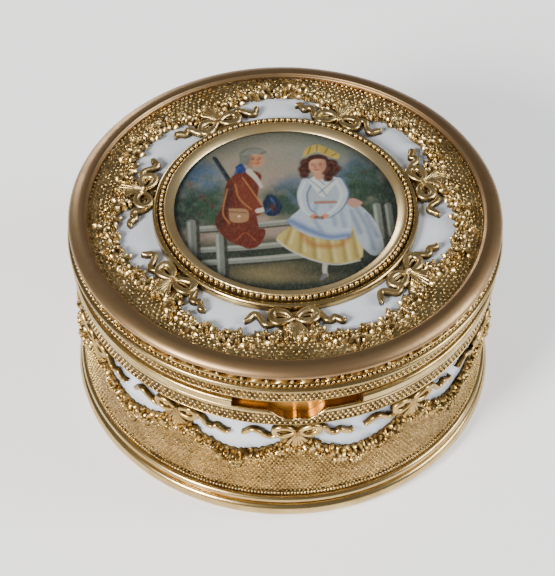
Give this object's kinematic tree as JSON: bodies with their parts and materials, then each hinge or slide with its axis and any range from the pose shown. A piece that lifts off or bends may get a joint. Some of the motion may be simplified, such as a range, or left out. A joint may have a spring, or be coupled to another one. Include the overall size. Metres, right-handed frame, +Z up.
{
  "type": "pill box",
  "caption": "Round gilt-metal box with a hinged lid, openwork bows over a white band, beaded mouldings and a framed miniature under glass in the lid.",
  "frame": {"origin": "middle of the foot's underside, on the box's axis", "axes": "+Z up along the box's axis, -Y towards the thumb notch, +Y towards the hinge"},
  "size_m": [0.076, 0.076, 0.0403],
  "materials": {
    "gilt": "cast and chased, gilt, with dark patina in the recesses",
    "polished_gilt": "polished gilding",
    "brown_gilt": "satin, gilding worn to a brown bronze tone",
    "opaline_glass": "opaque white opaline, smooth",
    "clear_glass": "clear, slightly domed",
    "velvet": "short pile",
    "felt": "felt",
    "card": "plain board",
    "painted_card": "hand painted, matt",
    "steel": "drawn wire"
  },
  "bodies": {
    "base": {"foot_ring": "gilt", "foot_bead_ring": "gilt", "bottom_felt": "felt", "bottom_plate": "gilt", "base_inner_shell": "gilt", "base_opaline_band": "opaline_glass", "base_openwork_band": "gilt", "wall_lining": "velvet", "floor_pad": "velvet", "base_bead_band": "gilt", "base_rim_ring": "gilt", "inner_collar": "polished_gilt", "hinge_base_leaf": "polished_gilt", "hinge_pin": "steel"},
    "lid": {"lid_skirt_ring": "gilt", "lid_bead_band": "gilt", "lid_torus_ring": "polished_gilt", "lid_fine_bead_ring": "gilt", "leaf_frieze_ring": "gilt", "lid_rim": "brown_gilt", "lid_openwork_plate": "gilt", "lid_opaline_disc": "opaline_glass", "lid_inner_plate": "gilt", "lid_retaining_ring": "polished_gilt", "lid_lining_pad": "velvet", "miniature_backing": "card", "miniature_painting": "painted_card", "miniature_glass": "clear_glass", "bezel_slip": "polished_gilt", "bezel_bead_ring": "gilt", "bezel_ring": "gilt", "hinge_lid_leaf": "polished_gilt"}
  },
  "joints": [
    {"name": "lid_hinge", "type": "hinge", "parent": "base", "child": "lid", "pos_m": [0, 0.0369, 0.0291], "axis": [-1, 0, 0], "range_deg": [0, 100]}
  ]
}
